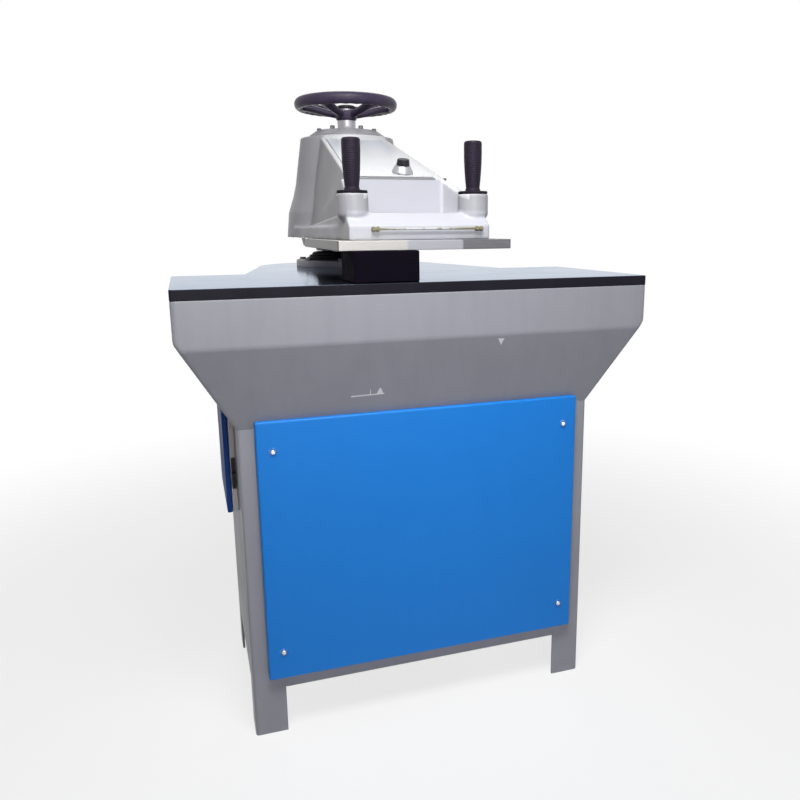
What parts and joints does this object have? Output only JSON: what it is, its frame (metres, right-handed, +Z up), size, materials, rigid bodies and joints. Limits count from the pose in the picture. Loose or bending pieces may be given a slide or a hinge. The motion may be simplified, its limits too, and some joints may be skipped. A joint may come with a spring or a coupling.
{
  "type": "swing arm cutting press",
  "caption": "Floor-standing hydraulic cutting press: a flared table on a cabinet, with an arm that swings on a rear column and presses a plate on a die.",
  "frame": {"origin": "floor under the middle of the machine's box", "axes": "+Z up, -Y towards the operator, +X to the operator's right"},
  "size_m": [0.9, 0.935, 1.302],
  "materials": {
    "grey_paint": "satin grey machine enamel",
    "black_plate": "gloss black ground plate",
    "blue_paint": "satin blue enamel",
    "silver_paint": "silver grey painted casting",
    "steel": "machined",
    "chrome": "hard chromed and ground",
    "dark_bolt": "black oxide",
    "aluminium": "bare plate",
    "bronze": "machined bronze",
    "brass": "drawn brass",
    "rubber": "matt black rubber",
    "black_plastic": "moulded black",
    "motor_paint": "enamel"
  },
  "bodies": {
    "frame": {"table_casting": "grey_paint", "front_left_post": "grey_paint", "front_right_post": "grey_paint", "rear_left_post": "grey_paint", "rear_right_post": "grey_paint", "top_rail": "grey_paint", "bottom_rail": "grey_paint", "left_wall": "grey_paint", "right_wall": "grey_paint", "rear_panel": "grey_paint", "base_tray": "grey_paint", "pedestal": "grey_paint", "control_box": "grey_paint", "oil_tank": "grey_paint", "box_hinge": "grey_paint", "table_plate": "black_plate", "front_panel": "blue_paint", "ring_flange": "silver_paint", "panel_screws": "steel", "column_tube": "steel", "tube_cap": "steel", "bell_housing": "steel", "gear_pump": "steel", "valve_block": "steel", "pressure_pipe": "steel", "ring_bolts": "dark_bolt", "guide_bush": "bronze", "wiper_boot": "rubber", "rest_block": "rubber", "switch_plate": "black_plastic", "filler_cap": "black_plastic", "motor_body": "motor_paint", "motor_feet": "motor_paint"},
    "ram": {"ram": "chrome", "piston": "steel", "piston_ring": "rubber"},
    "sleeve": {"pivot_sleeve": "bronze"},
    "arm": {"arm_casting": "silver_paint", "bearing_flange": "silver_paint", "roof_cover": "steel", "cover_screws": "steel", "hub_cap": "silver_paint", "cap_bolts": "dark_bolt", "striking_plate": "aluminium", "strike_screws": "dark_bolt", "switch_conduit": "brass", "left_collar": "rubber", "right_collar": "rubber", "left_grip": "rubber", "right_grip": "rubber", "knob_base": "steel"},
    "handwheel": {"handwheel": "black_plastic", "adjusting_screw": "steel", "wheel_nut": "dark_bolt"},
    "left_button": {"left_button": "black_plastic"},
    "right_button": {"right_button": "black_plastic"},
    "depth_knob": {"depth_knob": "black_plastic"},
    "box_door": {"box_door": "blue_paint"},
    "switch_lever": {"switch_lever": "black_plastic"},
    "motor_shaft": {"motor_shaft": "steel"}
  },
  "joints": [
    {"name": "ram_stroke", "type": "slide", "parent": "frame", "child": "ram", "axis": [0, 0, 1], "range_m": [0, 0.05]},
    {"name": "arm_swing", "type": "hinge", "parent": "ram", "child": "sleeve", "pos_m": [0, 0.2275, 0], "axis": [0, 0, 1], "range_deg": [-90, 90]},
    {"name": "height_adjust", "type": "slide", "parent": "sleeve", "child": "arm", "axis": [0, 0, 1], "range_m": [0, 0.04]},
    {"name": "handwheel_turn", "type": "hinge", "parent": "arm", "child": "handwheel", "pos_m": [0, 0.2275, 0], "axis": [0, 0, 1], "range_deg": [0, 2400]},
    {"name": "left_button_press", "type": "slide", "parent": "arm", "child": "left_button", "axis": [0, 0, -1], "range_m": [0, 0.004], "stiffness_N_per_m": 600, "springref_m": -0.001},
    {"name": "right_button_press", "type": "slide", "parent": "arm", "child": "right_button", "axis": [0, 0, -1], "range_m": [0, 0.004], "stiffness_N_per_m": 600, "springref_m": -0.001},
    {"name": "depth_knob_turn", "type": "hinge", "parent": "arm", "child": "depth_knob", "pos_m": [0.02, -0.2155, 1.0886], "axis": [0, -0.2909, 0.9568], "range_deg": [0, 270]},
    {"name": "box_door_swing", "type": "hinge", "parent": "frame", "child": "box_door", "pos_m": [-0.3715, -0.096, 0], "axis": [0, 0, -1], "range_deg": [0, 110]},
    {"name": "switch_throw", "type": "hinge", "parent": "frame", "child": "switch_lever", "pos_m": [-0.3605, -0.3263, 0.517], "axis": [1, 0, 0], "range_deg": [-20, 20]},
    {"name": "motor_spin", "type": "hinge", "parent": "frame", "child": "motor_shaft", "pos_m": [-0.15, -0.2025, 0.382], "axis": [1, 0, 0], "continuous": true}
  ],
  "couplings": [
    {"joint": "handwheel_turn", "follows": "height_adjust", "rad_per_m": 1047.2}
  ]
}
